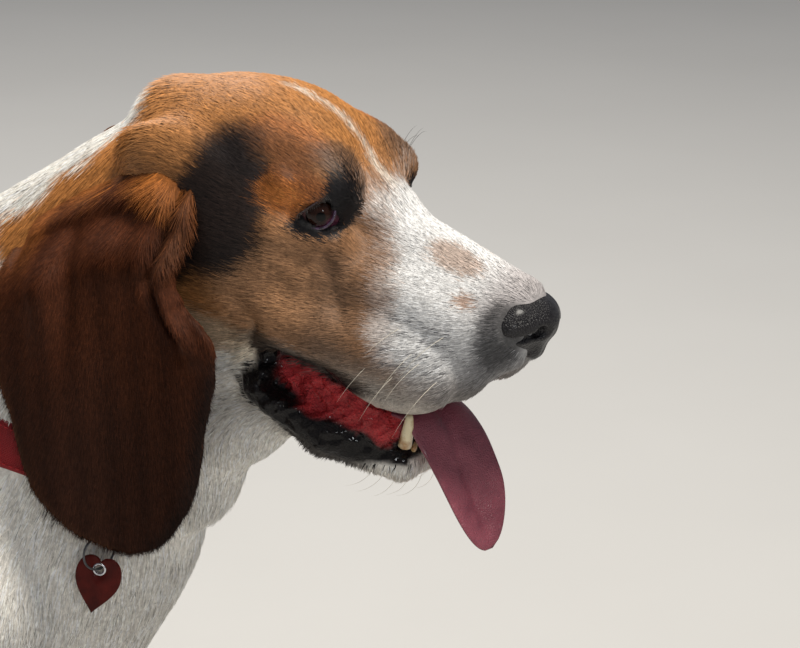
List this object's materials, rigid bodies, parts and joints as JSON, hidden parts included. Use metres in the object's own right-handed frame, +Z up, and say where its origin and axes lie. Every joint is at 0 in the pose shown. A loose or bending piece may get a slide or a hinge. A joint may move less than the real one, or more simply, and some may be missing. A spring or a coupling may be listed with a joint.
{
  "type": "basset hound",
  "caption": "Basset hound standing still, life size, long ears hanging, mouth open with its tongue out, in a red collar with a plain heart tag.",
  "frame": {"origin": "on the floor, under the middle of the dog's bounding box", "axes": "+X towards the nose, the dog's longest extent; +Z up; +Y to the dog's left"},
  "size_m": [0.9754, 0.2316, 0.5064],
  "materials": {
    "coat": "short smooth coat, orange tan, black and white",
    "ear_coat": "short dark brown coat",
    "nose_leather": "moist, finely pebbled",
    "tongue": "moist",
    "eye": "wet, clear cornea over a dark brown iris",
    "collar_webbing": "red woven webbing",
    "tag_metal": "dark red anodised",
    "ring_metal": "polished wire"
  },
  "bodies": {
    "root": {"head": "coat", "jaw": "coat", "nose": "nose_leather", "tongue": "tongue", "eye_left": "eye", "eye_right": "eye", "ear_left": "ear_coat", "ear_right": "ear_coat", "neck": "coat", "torso": "coat", "tail": "coat", "foreleg_left": "coat", "foreleg_right": "coat", "hindleg_left": "coat", "hindleg_right": "coat", "forepaw_left": "coat", "forepaw_right": "coat", "hindpaw_left": "coat", "hindpaw_right": "coat", "collar": "collar_webbing", "tag": "tag_metal", "tag_ring": "ring_metal"}
  },
  "joints": []
}
